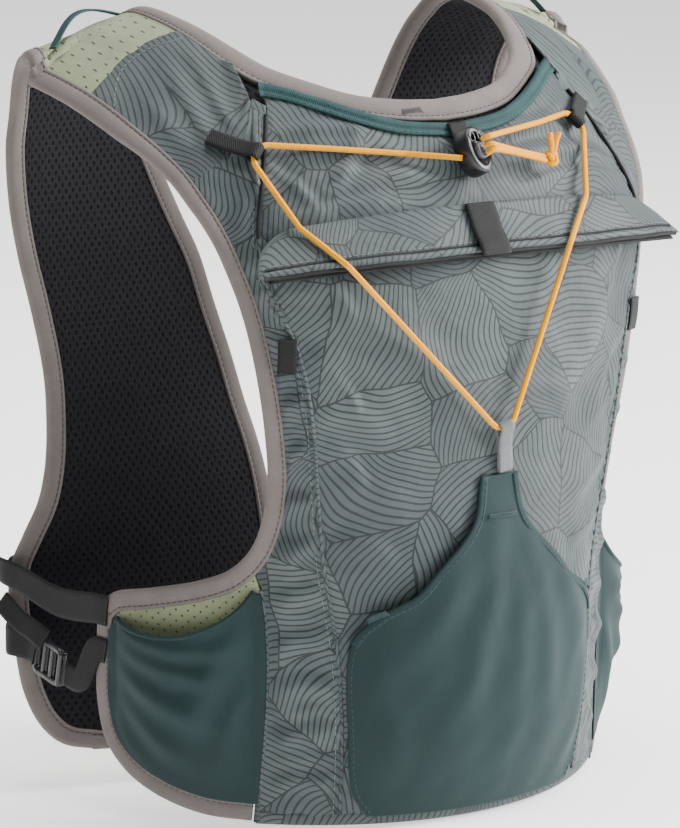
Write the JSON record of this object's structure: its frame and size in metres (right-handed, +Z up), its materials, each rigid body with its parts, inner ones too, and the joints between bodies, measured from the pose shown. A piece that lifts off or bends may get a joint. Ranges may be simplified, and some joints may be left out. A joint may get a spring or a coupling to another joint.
{
  "type": "running hydration vest",
  "caption": "Running vest with a mesh back, a printed rear pocket under a flap, stretch pockets, bound armholes and neck, side straps and an elastic cord.",
  "frame": {"origin": "midway between the two shoulder ridges, in the height of the cloth there", "axes": "+X to the right of the wearer, +Y to the front, +Z up"},
  "size_m": [0.3318, 0.2083, 0.3844],
  "materials": {
    "spacer_mesh": "open spacer mesh",
    "printed_fabric": "thin woven ripstop with a printed line pattern",
    "green_fabric": "thin perforated knit",
    "teal_fabric": "stretch knit",
    "binding": "soft brushed binding tape",
    "webbing": "woven tape",
    "black_plastic": "moulded plastic",
    "grey_plastic": "moulded plastic and grey tape",
    "cord": "round braided elastic cord"
  },
  "bodies": {
    "root": {"back_lining": "spacer_mesh", "yoke_left": "printed_fabric", "front_lining_left": "spacer_mesh", "front_panel_left": "green_fabric", "yoke_right": "printed_fabric", "front_lining_right": "spacer_mesh", "front_panel_right": "green_fabric", "main_pocket": "printed_fabric", "gusset_left": "printed_fabric", "gusset_right": "printed_fabric", "mouth_piping": "teal_fabric", "stretch_pocket": "teal_fabric", "wing_left": "green_fabric", "wing_pocket_left": "teal_fabric", "wing_right": "green_fabric", "wing_pocket_right": "teal_fabric", "neck_binding": "binding", "armhole_binding_left": "binding", "wing_binding_left": "binding", "armhole_binding_right": "binding", "wing_binding_right": "binding", "flap": "printed_fabric", "flap_backing": "webbing", "flap_tab": "webbing", "cord_lock": "black_plastic", "lock_button": "grey_plastic", "lock_webbing": "webbing", "bungee_cord": "cord", "cord_loop_left": "webbing", "anchor_loop": "grey_plastic", "cord_loop_right": "webbing", "cord_tail_upper": "cord", "cord_tail_lower": "cord", "cord_knot": "cord", "shoulder_loop_left": "teal_fabric", "side_loop_left": "webbing", "sternum_ring_left": "grey_plastic", "shoulder_loop_right": "teal_fabric", "side_loop_right": "webbing", "sternum_ring_right": "grey_plastic", "side_ring_left": "black_plastic", "side_strap_left": "webbing", "return_strap_left": "webbing", "ladder_lock_left": "black_plastic", "lower_strap_left": "webbing", "edge_band_left": "webbing", "side_ring_right": "black_plastic", "side_strap_right": "webbing", "return_strap_right": "webbing", "ladder_lock_right": "black_plastic", "lower_strap_right": "webbing", "edge_band_right": "webbing"}
  },
  "joints": []
}
